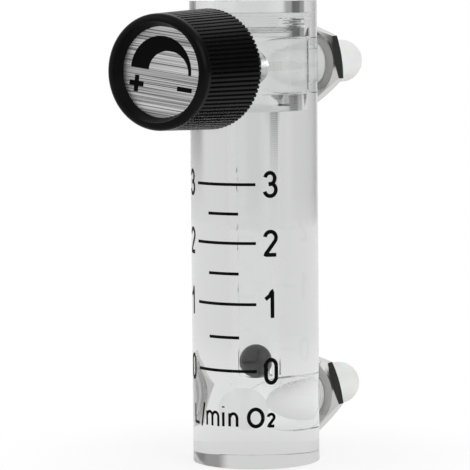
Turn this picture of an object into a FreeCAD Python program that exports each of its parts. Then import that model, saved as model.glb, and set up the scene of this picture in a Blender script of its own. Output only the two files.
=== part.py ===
"""Acrylic rod flowmeter for a gas, with a needle valve at the front and two capped ports at the back.

Millimetres. The origin is the centre of the rod's flat foot, +Z runs up the rod and -Y is the front,
where the knob is. The rod's axis, the float's axis and the top plug's axis are all the Z axis.
"""
import FreeCAD
import Part
import math
import os

# Rod: a round clear bar, bored from its top
rod_radius = 12.15
rod_height = 88.0
rod_edge_chamfer = 0.25
lower_port_z = 10.5

# Tapered float tube inside the rod, the chamber above it and the float
tube_foot_radius = 3.24
tube_head_radius = 3.48
tube_foot_z = 14.8
chamber_radius = 7.05
chamber_floor_drop = 8.3
float_radius = 3.175
float_gap = 0.02
running_clearance = 0.04
fitting_clearance = 0.03

# Float seat at the tube's foot and float stop at its head
seat_thickness = 1.95
seat_hole_radius = 1.8
foot_passage_radius = 2.4
stop_thickness = 1.0
stop_hole_radius = 1.4
stop_slot_count = 4
stop_slot_width = 1.3
stop_slot_reach = 2.6

# Clear sleeve cemented in the chamber, level with the valve
sleeve_bore_radius = 4.5
sleeve_floor_gap = 3.1
sleeve_top_gap = 0.1
sleeve_stem_clearance = 0.15

# Clear threaded plug in the top of the rod, drawn at its thread's outer size
plug_radius = 7.5
plug_length = 4.5
plug_top_gap = 2.3
plug_chamfer = 0.5
plug_slot_width = 1.6
plug_slot_depth = 0.8
plug_seal_cord_radius = 0.5
plug_seal_lip = 0.7
seal_squeeze = 0.03

# Needle valve: bushing in the rod's front, gland nut, stem, needle and seat
front_flat_depth = 1.4
bushing_radius = 6.0
bushing_inner_gap = 0.1
bushing_collar_radius = 6.9
bushing_collar_thickness = 1.8
bushing_boss_radius = 5.2
bushing_boss_length = 2.0
bushing_seal_cord_radius = 0.45
gland_thread_radius = 4.0
gland_head_across = 9.0
gland_head_thickness = 1.4
stem_shank_radius = 1.5
stem_radius = 3.6
stem_inner_y = -1.8
stem_thread_pitch = 0.9
stem_thread_depth = 0.3
stem_thread_turns = 4
stem_seal_cord_radius = 0.5
stem_seal_y = -8.75
valve_open_travel = 1.75
needle_radius = 0.85
needle_tip_radius = 0.3
needle_socket_depth = 3.0
needle_cone_length = 2.0
seat_ring_radius = 3.2
seat_ring_length = 2.5
seat_orifice_clearance = 0.05

# Knob, its disc and its screw
knob_gap_to_gland = 0.6
knob_length = 18.8
knob_rear_radius = 11.22
knob_front_radius = 10.55
knob_edge_fillet = 1.3
knob_crest_radius = 9.1
knob_dish_depth = 2.35
knob_disc_radius = 8.25
knob_disc_thickness = 0.5
knob_rib_count = 80
knob_rib_depth = 0.36
knob_rib_land_share = 0.5
knob_smooth_front = 2.0
knob_wall = 1.7
knob_web_thickness = 3.9
knob_hub_radius = 3.7
knob_hub_setback = 1.2
screw_head_radius = 2.6
screw_head_height = 1.5
screw_radius = 0.9
screw_bite = 4.0
screw_slot_width = 0.6
screw_slot_depth = 0.7

# Port tubes, their nuts and dust caps; the upper port is level with the valve
port_tube_radius = 5.4
port_bore_radius = 1.75
port_inner_gap = 0.1
port_under_plug = 0.27
port_thread_past_nut = 0.6
port_edge_chamfer = 0.4
barb_root_radius = 2.6
barb_radius = 3.0
barb_pitch = 3.6
barb_count = 3
barb_tip_length = 1.0
cross_bore_radius = 4.0
cross_bore_end_y = -3.2
nut_across_flats = 14.6
nut_thickness = 3.4
upper_nut_y = 18.8
lower_nut_y = 17.6
nut_corner_bevel_radius = 7.1
nut_bevel_angle = 30.0
upper_nut_turn = 9.5
lower_nut_turn = 17.0
cap_radius = 4.2
cap_wall = 1.15
cap_length = 14.8
upper_cap_standoff = 1.8
lower_cap_standoff = 0.03

ORIGIN = FreeCAD.Vector(0, 0, 0)
Y_AXIS = FreeCAD.Vector(0, 1, 0)
Z_AXIS = FreeCAD.Vector(0, 0, 1)
FULL_TURN = 360
HEXAGON_SIDES = 6

# Heights: the plug hangs from the rod's top, and the valve, the upper port and the chamber hang from the plug
plug_top_z = rod_height - plug_top_gap
plug_bottom_z = plug_top_z - plug_length
port_hole_radius = port_tube_radius + fitting_clearance
valve_z = plug_bottom_z - port_under_plug - port_hole_radius
upper_port_z = valve_z
chamber_floor_z = valve_z - chamber_floor_drop
float_rest_z = tube_foot_z + seat_thickness + math.sqrt(float_radius ** 2 - seat_hole_radius ** 2) + float_gap
front_flat_y = front_flat_depth - rod_radius
bushing_inner_y = -(plug_radius + bushing_inner_gap)
bushing_boss_y = front_flat_y - bushing_collar_thickness
bushing_front_y = bushing_boss_y - bushing_boss_length
stem_shoulder_y = front_flat_y + bushing_inner_gap
gland_inner_y = stem_shoulder_y - valve_open_travel - running_clearance
gland_front_y = bushing_front_y - gland_head_thickness
knob_rear_y = gland_front_y - knob_gap_to_gland
knob_front_y = knob_rear_y - knob_length
disc_front_y = knob_front_y + knob_dish_depth
disc_rear_y = disc_front_y + knob_disc_thickness
knob_web_rear_y = disc_rear_y + knob_web_thickness
stem_front_y = knob_web_rear_y - running_clearance
port_inner_y = chamber_radius + port_inner_gap
port_thread_end_y = upper_nut_y + nut_thickness + port_thread_past_nut
barb_tip_y = port_thread_end_y + barb_count * barb_pitch + barb_tip_length
needle_cone_y = port_inner_y - seat_orifice_clearance
sleeve_low_z = chamber_floor_z + sleeve_floor_gap
sleeve_high_z = plug_bottom_z - sleeve_top_gap
seat_orifice_radius = needle_radius + seat_orifice_clearance


def vector(x, y, z):
    """Point or direction in the part's frame."""
    return FreeCAD.Vector(x, y, z)


def cylinder_z(radius, low, high):
    """Upright cylinder on the rod's axis."""
    return Part.makeCylinder(radius, high - low, vector(0, 0, low), Z_AXIS)


def cylinder_y(radius, near, far, height):
    """Cylinder that lies along Y at a height, from the smaller y to the larger."""
    return Part.makeCylinder(radius, far - near, vector(0, near, height), Y_AXIS)


def turned_about_z(outline):
    """Solid turned about the rod's axis from (radius, z) corners."""
    points = [vector(radius, 0, height) for radius, height in outline]
    face = Part.Face(Part.makePolygon(points + points[:1]))
    return face.revolve(ORIGIN, Z_AXIS, FULL_TURN)


def turned_about_y(outline, height):
    """Solid turned about a line along Y at a height, from (radius, y) corners."""
    points = [vector(radius, depth, height) for radius, depth in outline]
    face = Part.Face(Part.makePolygon(points + points[:1]))
    return face.revolve(vector(0, 0, height), Y_AXIS, FULL_TURN)


def ring_about_z(ring_radius, cord_radius, height):
    """Seal ring about the rod's axis, from its centre line's radius and its cord's radius."""
    return Part.makeTorus(ring_radius, cord_radius, vector(0, 0, height), Z_AXIS)


def ring_about_y(ring_radius, cord_radius, depth, height):
    """Seal ring about a line along Y at a height."""
    return Part.makeTorus(ring_radius, cord_radius, vector(0, depth, height), Y_AXIS)


def groove_for_ring(surface_radius, cord_radius):
    """Bottom radius of an outside groove whose ring reaches the surface less the squeeze clearance."""
    return surface_radius - 2 * cord_radius - seal_squeeze


def rod_body():
    """Round acrylic rod with its plug hole, chamber, tapered tube, port holes and valve hole."""
    rod = cylinder_z(rod_radius, 0, rod_height)
    rims = [edge for edge in rod.Edges if edge.Curve.TypeId == "Part::GeomCircle"]
    rod = rod.makeChamfer(rod_edge_chamfer, rims)
    bores = [
        cylinder_z(plug_radius + fitting_clearance, plug_bottom_z, rod_height),
        cylinder_z(chamber_radius, chamber_floor_z, plug_bottom_z),
        Part.makeCone(tube_foot_radius, tube_head_radius, chamber_floor_z - tube_foot_z,
                      vector(0, 0, tube_foot_z), Z_AXIS),
        cylinder_z(foot_passage_radius, lower_port_z, tube_foot_z),
        cylinder_y(cross_bore_radius, cross_bore_end_y, rod_radius, lower_port_z),
        cylinder_y(bushing_radius + fitting_clearance, -rod_radius, 0, valve_z),
        cylinder_y(bushing_collar_radius + fitting_clearance, -rod_radius, front_flat_y, valve_z),
        cylinder_y(port_hole_radius, chamber_radius, rod_radius, lower_port_z),
        cylinder_y(port_hole_radius, 0, rod_radius, upper_port_z),
    ]
    for bore in bores:
        rod = rod.cut(bore)
    return rod


def top_plug():
    """Clear plug with a driver slot, a pocket under it and a seal groove near its foot."""
    groove_z = plug_bottom_z + plug_seal_lip + plug_seal_cord_radius
    groove_radius = groove_for_ring(plug_radius, plug_seal_cord_radius)
    outline = [
        (0, plug_bottom_z),
        (plug_radius - plug_chamfer, plug_bottom_z),
        (plug_radius - plug_chamfer, groove_z - plug_seal_cord_radius),
        (groove_radius, groove_z - plug_seal_cord_radius),
        (groove_radius, groove_z + plug_seal_cord_radius),
        (plug_radius, groove_z + plug_seal_cord_radius),
        (plug_radius, plug_top_z - plug_chamfer),
        (plug_radius - plug_chamfer, plug_top_z),
        (0, plug_top_z),
    ]
    plug = turned_about_z(outline)
    slot = Part.makeBox(2 * plug_radius, plug_slot_width, plug_slot_depth,
                        vector(-plug_radius, -plug_slot_width / 2, plug_top_z - plug_slot_depth))
    return plug.cut(slot)


def plug_seal_ring():
    """Seal ring in the plug's groove, against the wall of the plug's hole."""
    cord = plug_seal_cord_radius - seal_squeeze / 2
    centre = plug_radius - plug_seal_cord_radius
    return ring_about_z(centre, cord, plug_bottom_z + plug_seal_lip + plug_seal_cord_radius)


def lower_float_seat():
    """Ring at the tube's foot on which the float rests at zero flow."""
    outer = tube_foot_radius - fitting_clearance
    ring = cylinder_z(outer, tube_foot_z, tube_foot_z + seat_thickness)
    return ring.cut(cylinder_z(seat_hole_radius, tube_foot_z, tube_foot_z + seat_thickness))


def upper_float_stop():
    """Disc on the chamber's floor with a centre hole and slots that let the gas by."""
    top = chamber_floor_z + stop_thickness
    disc = cylinder_z(chamber_radius - fitting_clearance, chamber_floor_z, top)
    disc = disc.cut(cylinder_z(stop_hole_radius, chamber_floor_z, top))
    for index in range(stop_slot_count):
        slot = Part.makeBox(stop_slot_reach, stop_slot_width, stop_thickness,
                            vector(0, -stop_slot_width / 2, chamber_floor_z))
        slot.rotate(ORIGIN, Z_AXIS, index * FULL_TURN / stop_slot_count)
        disc = disc.cut(slot)
    return disc


def valve_sleeve():
    """Clear sleeve that guides the stem and leads the gas from the chamber to the upper port."""
    sleeve = cylinder_z(chamber_radius - fitting_clearance, sleeve_low_z, sleeve_high_z)
    sleeve = sleeve.cut(cylinder_z(sleeve_bore_radius, sleeve_low_z, sleeve_high_z))
    sleeve = sleeve.cut(cylinder_y(stem_radius + sleeve_stem_clearance, -chamber_radius, 0, valve_z))
    return sleeve.cut(cylinder_y(port_bore_radius, 0, chamber_radius, valve_z))


def float_ball():
    """Ball that stands on the seat's rim and rises with the flow."""
    return Part.makeSphere(float_radius, vector(0, 0, float_rest_z))


def valve_bushing():
    """Metal bushing: a thread in the rod, a collar on the rod's flat and a boss that takes the gland nut."""
    outline = [
        (stem_radius + running_clearance, bushing_inner_y),
        (bushing_radius, bushing_inner_y),
        (bushing_radius, front_flat_y + 2 * bushing_seal_cord_radius),
        (bushing_radius - 2 * bushing_seal_cord_radius, front_flat_y + 2 * bushing_seal_cord_radius),
        (bushing_radius - 2 * bushing_seal_cord_radius, front_flat_y),
        (bushing_collar_radius, front_flat_y),
        (bushing_collar_radius, bushing_boss_y),
        (bushing_boss_radius, bushing_boss_y),
        (bushing_boss_radius, bushing_front_y),
        (gland_thread_radius + fitting_clearance, bushing_front_y),
        (gland_thread_radius + fitting_clearance, gland_inner_y),
        (stem_radius + running_clearance, gland_inner_y),
    ]
    return turned_about_y(outline, valve_z)


def bushing_seal_ring():
    """Ring in the groove behind the bushing's collar, against the rod."""
    ring_radius = bushing_radius - bushing_seal_cord_radius
    depth = front_flat_y + bushing_seal_cord_radius
    return ring_about_y(ring_radius, bushing_seal_cord_radius - seal_squeeze, depth, valve_z)


def gland_nut():
    """Nut in the bushing's boss that holds the stem in, with a hexagon head."""
    head = hexagon_y(gland_head_across, gland_front_y, bushing_front_y, valve_z, 0)
    thread = cylinder_y(gland_thread_radius, bushing_front_y, gland_inner_y, valve_z)
    hole = cylinder_y(stem_shank_radius + running_clearance, gland_front_y, gland_inner_y, valve_z)
    return head.fuse(thread).removeSplitter().cut(hole)


def valve_stem():
    """Stem with a thick threaded part in the bushing, a seal groove and a thin shank to the knob."""
    groove_radius = stem_radius - 2 * stem_seal_cord_radius - seal_squeeze
    outline = [
        (0, stem_front_y),
        (stem_shank_radius, stem_front_y),
        (stem_shank_radius, stem_shoulder_y),
        (stem_radius, stem_shoulder_y),
        (stem_radius, stem_seal_y - stem_seal_cord_radius),
        (groove_radius, stem_seal_y - stem_seal_cord_radius),
        (groove_radius, stem_seal_y + stem_seal_cord_radius),
        (stem_radius, stem_seal_y + stem_seal_cord_radius),
    ]
    thread_start_y = stem_inner_y - stem_thread_turns * stem_thread_pitch
    for index in range(stem_thread_turns):
        ridge_y = thread_start_y + index * stem_thread_pitch
        outline.append((stem_radius, ridge_y))
        outline.append((stem_radius - stem_thread_depth, ridge_y + stem_thread_pitch / 2))
    outline += [
        (stem_radius, stem_inner_y),
        (needle_radius + fitting_clearance, stem_inner_y),
        (needle_radius + fitting_clearance, stem_inner_y - needle_socket_depth),
        (0, stem_inner_y - needle_socket_depth),
    ]
    stem = turned_about_y(outline, valve_z)
    screw_hole_end_y = stem_front_y + screw_bite + screw_radius
    return stem.cut(cylinder_y(screw_radius + fitting_clearance, stem_front_y, screw_hole_end_y, valve_z))


def stem_seal_ring():
    """Ring in the stem's groove, against the bushing's bore."""
    ring_radius = stem_radius - stem_seal_cord_radius
    return ring_about_y(ring_radius, stem_seal_cord_radius - seal_squeeze, stem_seal_y, valve_z)


def needle_tip():
    """Needle pressed in the stem's end, with a cone that closes the seat's orifice."""
    outline = [
        (0, stem_inner_y - needle_socket_depth),
        (needle_radius, stem_inner_y - needle_socket_depth),
        (needle_radius, needle_cone_y),
        (needle_tip_radius, needle_cone_y + needle_cone_length),
        (0, needle_cone_y + needle_cone_length),
    ]
    return turned_about_y(outline, valve_z)


def needle_seat():
    """Ring in the inner end of the upper port tube, with the orifice that the needle closes."""
    ring = cylinder_y(seat_ring_radius, port_inner_y, port_inner_y + seat_ring_length, valve_z)
    return ring.cut(cylinder_y(seat_orifice_radius, port_inner_y, port_inner_y + seat_ring_length, valve_z))


def knob_radius_at(depth):
    """Outer radius of the tapered knob at a place along Y."""
    share = (knob_rear_y - depth) / knob_length
    return knob_rear_radius + share * (knob_front_radius - knob_rear_radius)


def ribbed_section(depth):
    """Closed outline of the ribbed grip at a place along Y: a land and a V groove for each rib."""
    crest = knob_radius_at(depth)
    root = crest - knob_rib_depth
    rib_angle = 2 * math.pi / knob_rib_count
    land = rib_angle * knob_rib_land_share
    points = []
    for index in range(knob_rib_count):
        start = index * rib_angle
        for radius, angle in ((crest, start), (crest, start + land), (root, start + (land + rib_angle) / 2)):
            points.append(vector(radius * math.cos(angle), depth, valve_z + radius * math.sin(angle)))
    return Part.makePolygon(points + points[:1])


def knob():
    """Moulded knob: tapered ribbed grip, rounded front edge, dished face, web and hub."""
    inner_radius = knob_rear_radius - knob_wall
    blank = turned_about_y([
        (0, knob_front_y + knob_dish_depth),
        (knob_disc_radius + fitting_clearance, knob_front_y + knob_dish_depth),
        (knob_crest_radius, knob_front_y),
        (knob_front_radius, knob_front_y),
        (knob_rear_radius, knob_rear_y),
        (0, knob_rear_y),
    ], valve_z)
    edge = max((item for item in blank.Edges if abs(item.BoundBox.YMax - knob_front_y) < fitting_clearance),
               key=lambda item: item.Length)
    blank = blank.makeFillet(knob_edge_fillet, [edge])
    rib_end_y = knob_front_y + knob_smooth_front
    grip = Part.makeLoft([ribbed_section(rib_end_y), ribbed_section(knob_rear_y)], True, True)
    sleeve = cylinder_y(knob_rear_radius + knob_wall, rib_end_y, knob_rear_y, valve_z)
    body = blank.cut(sleeve.cut(grip))
    hollow = cylinder_y(inner_radius, knob_web_rear_y, knob_rear_y, valve_z)
    hollow = hollow.cut(cylinder_y(knob_hub_radius, knob_web_rear_y, knob_rear_y - knob_hub_setback, valve_z))
    stem_hole = cylinder_y(stem_shank_radius + fitting_clearance, stem_front_y, knob_rear_y, valve_z)
    disc_pocket = cylinder_y(knob_disc_radius + fitting_clearance, disc_front_y, disc_rear_y, valve_z)
    head_pocket = cylinder_y(screw_head_radius + fitting_clearance, disc_rear_y,
                             disc_rear_y + screw_head_height + fitting_clearance, valve_z)
    screw_hole = cylinder_y(screw_radius + fitting_clearance, disc_rear_y, stem_front_y, valve_z)
    for space in (hollow, stem_hole, disc_pocket, head_pocket, screw_hole):
        body = body.cut(space)
    return body


def knob_disc():
    """Thin metal disc in the bottom of the knob's dish."""
    return cylinder_y(knob_disc_radius, disc_front_y, disc_rear_y, valve_z)


def knob_screw():
    """Slotted screw under the disc that holds the knob on the stem."""
    head_front = disc_rear_y + fitting_clearance
    head_rear = head_front + screw_head_height
    head = cylinder_y(screw_head_radius, head_front, head_rear, valve_z)
    shank = cylinder_y(screw_radius, head_rear, stem_front_y + screw_bite, valve_z)
    slot = Part.makeBox(2 * screw_head_radius, screw_slot_depth, screw_slot_width,
                        vector(-screw_head_radius, head_front, valve_z - screw_slot_width / 2))
    return head.fuse(shank).removeSplitter().cut(slot)


def port_tube(height, inner_y):
    """Clear tube in the rod's back: thick threaded part for the nut, then a barbed hose end."""
    outline = [
        (port_bore_radius, inner_y),
        (port_tube_radius, inner_y),
        (port_tube_radius, port_thread_end_y - port_edge_chamfer),
        (port_tube_radius - port_edge_chamfer, port_thread_end_y),
        (barb_root_radius, port_thread_end_y),
    ]
    for index in range(barb_count):
        barb_y = port_thread_end_y + index * barb_pitch
        outline.append((barb_radius, barb_y + barb_pitch / 2))
        outline.append((barb_root_radius, barb_y + barb_pitch))
    outline.append((barb_root_radius, barb_tip_y))
    outline.append((port_bore_radius, barb_tip_y))
    return turned_about_y(outline, height)


def upper_port_tube():
    """Port tube whose inner end is bored flush with the chamber's wall and holds the needle seat."""
    tube = port_tube(upper_port_z, 0)
    pocket_radius = seat_ring_radius + fitting_clearance
    tube = tube.cut(cylinder_y(pocket_radius, 0, port_inner_y + seat_ring_length, upper_port_z))
    return tube.cut(cylinder_z(chamber_radius, chamber_floor_z, plug_bottom_z))


def hexagon_corner_radius(across_flats):
    """Distance from a hexagon's centre to its corners."""
    return across_flats / 2 / math.cos(math.pi / HEXAGON_SIDES)


def hexagon_y(across_flats, near, far, height, turn):
    """Hexagonal bar along Y, turned about its own axis from a flat that faces +X."""
    corner_radius = hexagon_corner_radius(across_flats)
    points = []
    for index in range(HEXAGON_SIDES):
        angle = math.radians(turn) + (2 * index + 1) * math.pi / HEXAGON_SIDES
        points.append(vector(corner_radius * math.cos(angle), near, height + corner_radius * math.sin(angle)))
    face = Part.Face(Part.makePolygon(points + points[:1]))
    return face.extrude(vector(0, far - near, 0))


def hex_nut(height, near, turn):
    """Panel nut on a port tube from a place along Y, its corners bevelled on both faces."""
    far = near + nut_thickness
    corner_radius = hexagon_corner_radius(nut_across_flats)
    bevel_depth = (corner_radius - nut_corner_bevel_radius) * math.tan(math.radians(nut_bevel_angle))
    bevelled = turned_about_y([
        (port_tube_radius + fitting_clearance, near),
        (nut_corner_bevel_radius, near),
        (corner_radius, near + bevel_depth),
        (corner_radius, far - bevel_depth),
        (nut_corner_bevel_radius, far),
        (port_tube_radius + fitting_clearance, far),
    ], height)
    return hexagon_y(nut_across_flats, near, far, height, turn).common(bevelled)


def dust_cap(height, standoff):
    """Soft round-ended cap over a hose end, a little off the tube's shoulder."""
    rim_y = port_thread_end_y + standoff
    dome_y = rim_y + cap_length - cap_radius
    inner_radius = cap_radius - cap_wall
    outer = cylinder_y(cap_radius, rim_y, dome_y, height)
    outer = outer.fuse(Part.makeSphere(cap_radius, vector(0, dome_y, height))).removeSplitter()
    inner = cylinder_y(inner_radius, rim_y, dome_y, height)
    inner = inner.fuse(Part.makeSphere(inner_radius, vector(0, dome_y, height))).removeSplitter()
    return outer.cut(inner)


pieces = {
    "acrylic_rod": rod_body(),
    "top_plug": top_plug(),
    "plug_seal_ring": plug_seal_ring(),
    "lower_float_seat": lower_float_seat(),
    "upper_float_stop": upper_float_stop(),
    "valve_sleeve": valve_sleeve(),
    "float_ball": float_ball(),
    "valve_bushing": valve_bushing(),
    "bushing_seal_ring": bushing_seal_ring(),
    "gland_nut": gland_nut(),
    "valve_stem": valve_stem(),
    "stem_seal_ring": stem_seal_ring(),
    "needle_tip": needle_tip(),
    "needle_seat": needle_seat(),
    "knob": knob(),
    "knob_disc": knob_disc(),
    "knob_screw": knob_screw(),
    "upper_port_tube": upper_port_tube(),
    "lower_port_tube": port_tube(lower_port_z, port_inner_y),
    "upper_hex_nut": hex_nut(upper_port_z, upper_nut_y, upper_nut_turn),
    "lower_hex_nut": hex_nut(lower_port_z, lower_nut_y, lower_nut_turn),
    "upper_dust_cap": dust_cap(upper_port_z, upper_cap_standoff),
    "lower_dust_cap": dust_cap(lower_port_z, lower_cap_standoff),
}

os.makedirs("parts", exist_ok=True)
for name, shape in pieces.items():
    solid = shape.Solids[0]
    print(f"{name}: {len(shape.Solids)} solid, {solid.Volume:.2f} cubic mm, valid {shape.isValid()}")
    solid.exportStep(f"parts/{name}.step")
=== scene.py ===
"""Dresses the clear rod flowmeter: its rod and scale, valve and knob, ports, ball, and the studio round it.

Metres throughout. The rod stands on its foot at the origin, +Z runs up the rod and -Y is the front, where
the knob is. Sizes are read from the frame's nodes where a node has them, and are named values elsewhere.
"""

import logging
import math
from abc import ABC, abstractmethod
from dataclasses import dataclass
from enum import Enum
from typing import Any, Iterable, Optional, Sequence, Union

import bmesh
import bpy
from mathutils import Matrix, Vector


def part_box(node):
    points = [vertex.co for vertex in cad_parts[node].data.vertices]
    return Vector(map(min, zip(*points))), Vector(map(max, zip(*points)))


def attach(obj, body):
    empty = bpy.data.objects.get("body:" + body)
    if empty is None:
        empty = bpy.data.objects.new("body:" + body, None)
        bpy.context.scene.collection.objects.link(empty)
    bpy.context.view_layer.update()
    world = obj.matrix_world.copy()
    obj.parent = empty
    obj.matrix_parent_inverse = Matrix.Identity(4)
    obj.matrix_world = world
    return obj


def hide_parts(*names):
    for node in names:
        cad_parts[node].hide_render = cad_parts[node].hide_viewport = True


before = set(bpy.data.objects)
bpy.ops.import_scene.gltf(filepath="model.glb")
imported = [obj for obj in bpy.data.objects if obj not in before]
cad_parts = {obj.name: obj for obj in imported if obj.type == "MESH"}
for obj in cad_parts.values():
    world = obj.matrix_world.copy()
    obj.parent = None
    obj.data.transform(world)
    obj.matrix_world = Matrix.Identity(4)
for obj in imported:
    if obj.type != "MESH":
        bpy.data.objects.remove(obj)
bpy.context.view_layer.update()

log = logging.getLogger("flowmeter")

Pair = tuple[float, float]
Colour = tuple[float, float, float]

MM = 0.001
FULL_TURN = 2 * math.pi
SHARP_ANGLE = math.radians(25)
MERGE_DISTANCE = 0.0001 * MM
MIX_FACTOR, MIX_FIRST, MIX_SECOND, MIX_RESULT = 0, 6, 7, 2
CLEAR_WHITE = (1, 1, 1, 1)
PORT_TUBES = ("upper_port_tube", "lower_port_tube")
CROSS_BORE_RADIUS = 4.0 * MM
CROSS_BORE_END = -3.2 * MM


class Body(Enum):
    """Bodies that the new pieces ride on."""
    HOUSING = "housing"
    KNOB = "knob_and_stem"


class Slot(Enum):
    """Names of material slots of the record."""
    ACRYLIC = "clear_acrylic"
    KNOB = "black_knob"


class Change(Enum):
    """What one shape does to another."""
    CUT = "DIFFERENCE"
    JOIN = "UNION"


class Along(Enum):
    """The two directions that this object's turned pieces lie along."""
    Y = (0, 1, 0)
    Z = (0, 0, 1)

    def point(self, radius: float, place: float) -> Vector:
        """Returns the point at a radius from this axis and a place along it."""
        return Vector((radius, place, 0)) if self is Along.Y else Vector((radius, 0, place))


class Signal:
    """A shader value that Python's operators act on by adding Math nodes."""

    def __init__(self, recipe: "Recipe", socket: bpy.types.NodeSocket) -> None:
        """Keeps the socket and the recipe that it belongs to."""
        self.recipe = recipe
        self.socket = socket

    def _maths(self, operation: str, first: Any, second: Any = 0.0) -> "Signal":
        """Returns the result of one Math node on one value or two."""
        return self.recipe.node("ShaderNodeMath", {"operation": operation}, {0: first, 1: second})

    def __add__(self, other: Any) -> "Signal":
        """self + other."""
        return self._maths("ADD", self, other)

    def __radd__(self, other: Any) -> "Signal":
        """other + self."""
        return self._maths("ADD", other, self)

    def __sub__(self, other: Any) -> "Signal":
        """self - other."""
        return self._maths("SUBTRACT", self, other)

    def __rsub__(self, other: Any) -> "Signal":
        """other - self."""
        return self._maths("SUBTRACT", other, self)

    def __mul__(self, other: Any) -> "Signal":
        """self * other."""
        return self._maths("MULTIPLY", self, other)

    def __truediv__(self, other: Any) -> "Signal":
        """self / other."""
        return self._maths("DIVIDE", self, other)

    def __pow__(self, other: Any) -> "Signal":
        """self ** other."""
        return self._maths("POWER", self, other)

    def sine(self) -> "Signal":
        """The sine of this value in radians."""
        return self._maths("SINE", self)

    def larger(self, other: Any) -> "Signal":
        """The larger of two values at each point."""
        return self._maths("MAXIMUM", self, other)

    def below(self, other: Any) -> "Signal":
        """1 where this value is less than the other, and 0 elsewhere."""
        return self._maths("LESS_THAN", self, other)

    def above(self, other: Any) -> "Signal":
        """1 where this value is more than the other, and 0 elsewhere."""
        return self._maths("GREATER_THAN", self, other)

    def near(self, target: float, margin: float) -> "Signal":
        """1 where this value is within a margin of the target, and 0 elsewhere."""
        return self.recipe.node("ShaderNodeMath", {"operation": "COMPARE"}, {0: self, 1: target, 2: margin})

    def between(self, low: float, high: float) -> "Signal":
        """1 where this value lies from low to high, and 0 elsewhere."""
        return self.near((low + high) / 2, (high - low) / 2)

    def ease(self, low: float, high: float) -> "Signal":
        """Goes smoothly from 0 at low to 1 at high."""
        settings = {"interpolation_type": "SMOOTHSTEP"}
        return self.recipe.node("ShaderNodeMapRange", settings,
                                {"Value": self, "From Min": low, "From Max": high})


def distance(first: Signal, second: Signal) -> Signal:
    """Distance from an axis, from the two places across it."""
    return (first * first + second * second) ** 0.5


def any_of(first: Signal, *others: Signal) -> Signal:
    """The largest of some masks.

    Args:
        first: One mask.
        others: The others.

    Returns:
        1 where any of them is 1.
    """
    for other in others:
        first = first.larger(other)
    return first


class Recipe:
    """The nodes of one material or of the world."""

    def __init__(self, owner: Union[bpy.types.Material, bpy.types.World]) -> None:
        """Clears the owner's nodes.

        Args:
            owner: The material or world that the nodes belong to.
        """
        owner.use_nodes = True
        self.owner = owner
        self.tree = owner.node_tree
        self.tree.nodes.clear()

    def node(self, kind: str, settings: Optional[dict] = None, inputs: Optional[dict] = None,
             output: Union[int, str] = 0) -> Signal:
        """Adds one node.

        Args:
            kind: The node's type name.
            settings: Its properties, set first.
            inputs: Numbers, colours or signals by the socket's name or place.
            output: The socket that is returned.

        Returns:
            The chosen output as a signal.
        """
        made = self.tree.nodes.new(kind)
        for key, value in (settings or {}).items():
            setattr(made, key, value)
        for key, value in (inputs or {}).items():
            if isinstance(value, Signal):
                self.tree.links.new(value.socket, made.inputs[key])
            else:
                made.inputs[key].default_value = value
        return Signal(self, made.outputs[output])

    def place(self, output: str = "Object") -> Signal:
        """The point on the piece, in metres."""
        return self.node("ShaderNodeTexCoord", output=output)

    def axes(self, output: str = "Object") -> tuple[Signal, Signal, Signal]:
        """The point's three numbers.

        Args:
            output: The kind of point.

        Returns:
            x, y and z.
        """
        first = self.node("ShaderNodeSeparateXYZ", inputs={0: self.place(output)})
        outputs = first.socket.node.outputs
        return first, Signal(self, outputs[1]), Signal(self, outputs[2])

    def mapped(self, scale: Sequence[float], turn: Sequence[float] = (0, 0, 0)) -> Signal:
        """The point on the piece, turned and scaled."""
        return self.node("ShaderNodeMapping", {"vector_type": "TEXTURE"},
                         {"Vector": self.place(), "Scale": [1 / part for part in scale], "Rotation": turn})

    def noise(self, vector: Signal, scale: float, detail: float = 3.0, roughness: float = 0.55) -> Signal:
        """Cloudy noise from 0 to 1, with scale in repeats for each metre."""
        return self.node("ShaderNodeTexNoise", inputs={"Vector": vector, "Scale": scale, "Detail": detail,
                                                       "Roughness": roughness})

    def bump(self, height: Signal, depth: float) -> Signal:
        """A normal from a height of 0 to 1 and its depth in metres."""
        return self.node("ShaderNodeBump", inputs={"Height": height, "Distance": depth}, output="Normal")

    def grey(self, value: Signal) -> Signal:
        """A value as a colour."""
        return self.node("ShaderNodeCombineColor", inputs={0: value, 1: value, 2: value})

    def blend(self, factor: Signal, first: Sequence[float], second: Sequence[float]) -> Signal:
        """A colour between two colours."""
        return self.node("ShaderNodeMix", {"data_type": "RGBA"},
                         {MIX_FACTOR: factor, MIX_FIRST: (*first, 1), MIX_SECOND: (*second, 1)}, MIX_RESULT)

    def principled(self, inputs: dict) -> Signal:
        """A Principled shader with these inputs."""
        return self.node("ShaderNodeBsdfPrincipled", inputs=inputs)

    def choose(self, factor: Signal, first: Signal, second: Signal) -> Signal:
        """The first shader where the factor is 0, and the second where it is 1."""
        return self.node("ShaderNodeMixShader", inputs={0: factor, 1: first, 2: second})

    def close(self, surface: Signal, volume: Optional[Signal] = None) -> None:
        """Joins the result to the output.

        Args:
            surface: The surface's shader, or the background.
            volume: The inside's shader, if there is one.
        """
        of_world = isinstance(self.owner, bpy.types.World)
        made = self.tree.nodes.new("ShaderNodeOutputWorld" if of_world else "ShaderNodeOutputMaterial")
        self.tree.links.new(surface.socket, made.inputs["Surface"])
        if volume is not None:
            self.tree.links.new(volume.socket, made.inputs["Volume"])


@dataclass(frozen=True)
class Finish(ABC):
    """One finish of the object, which makes its material."""
    name: str

    def material(self) -> bpy.types.Material:
        """Makes the material, or finds it if it was made before.

        Returns:
            The material.
        """
        made = bpy.data.materials.get(self.name)
        if made is None:
            made = bpy.data.materials.new(self.name)
            self.mix(Recipe(made))
        return made

    @abstractmethod
    def mix(self, recipe: Recipe) -> None:
        """Fills the recipe."""


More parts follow.
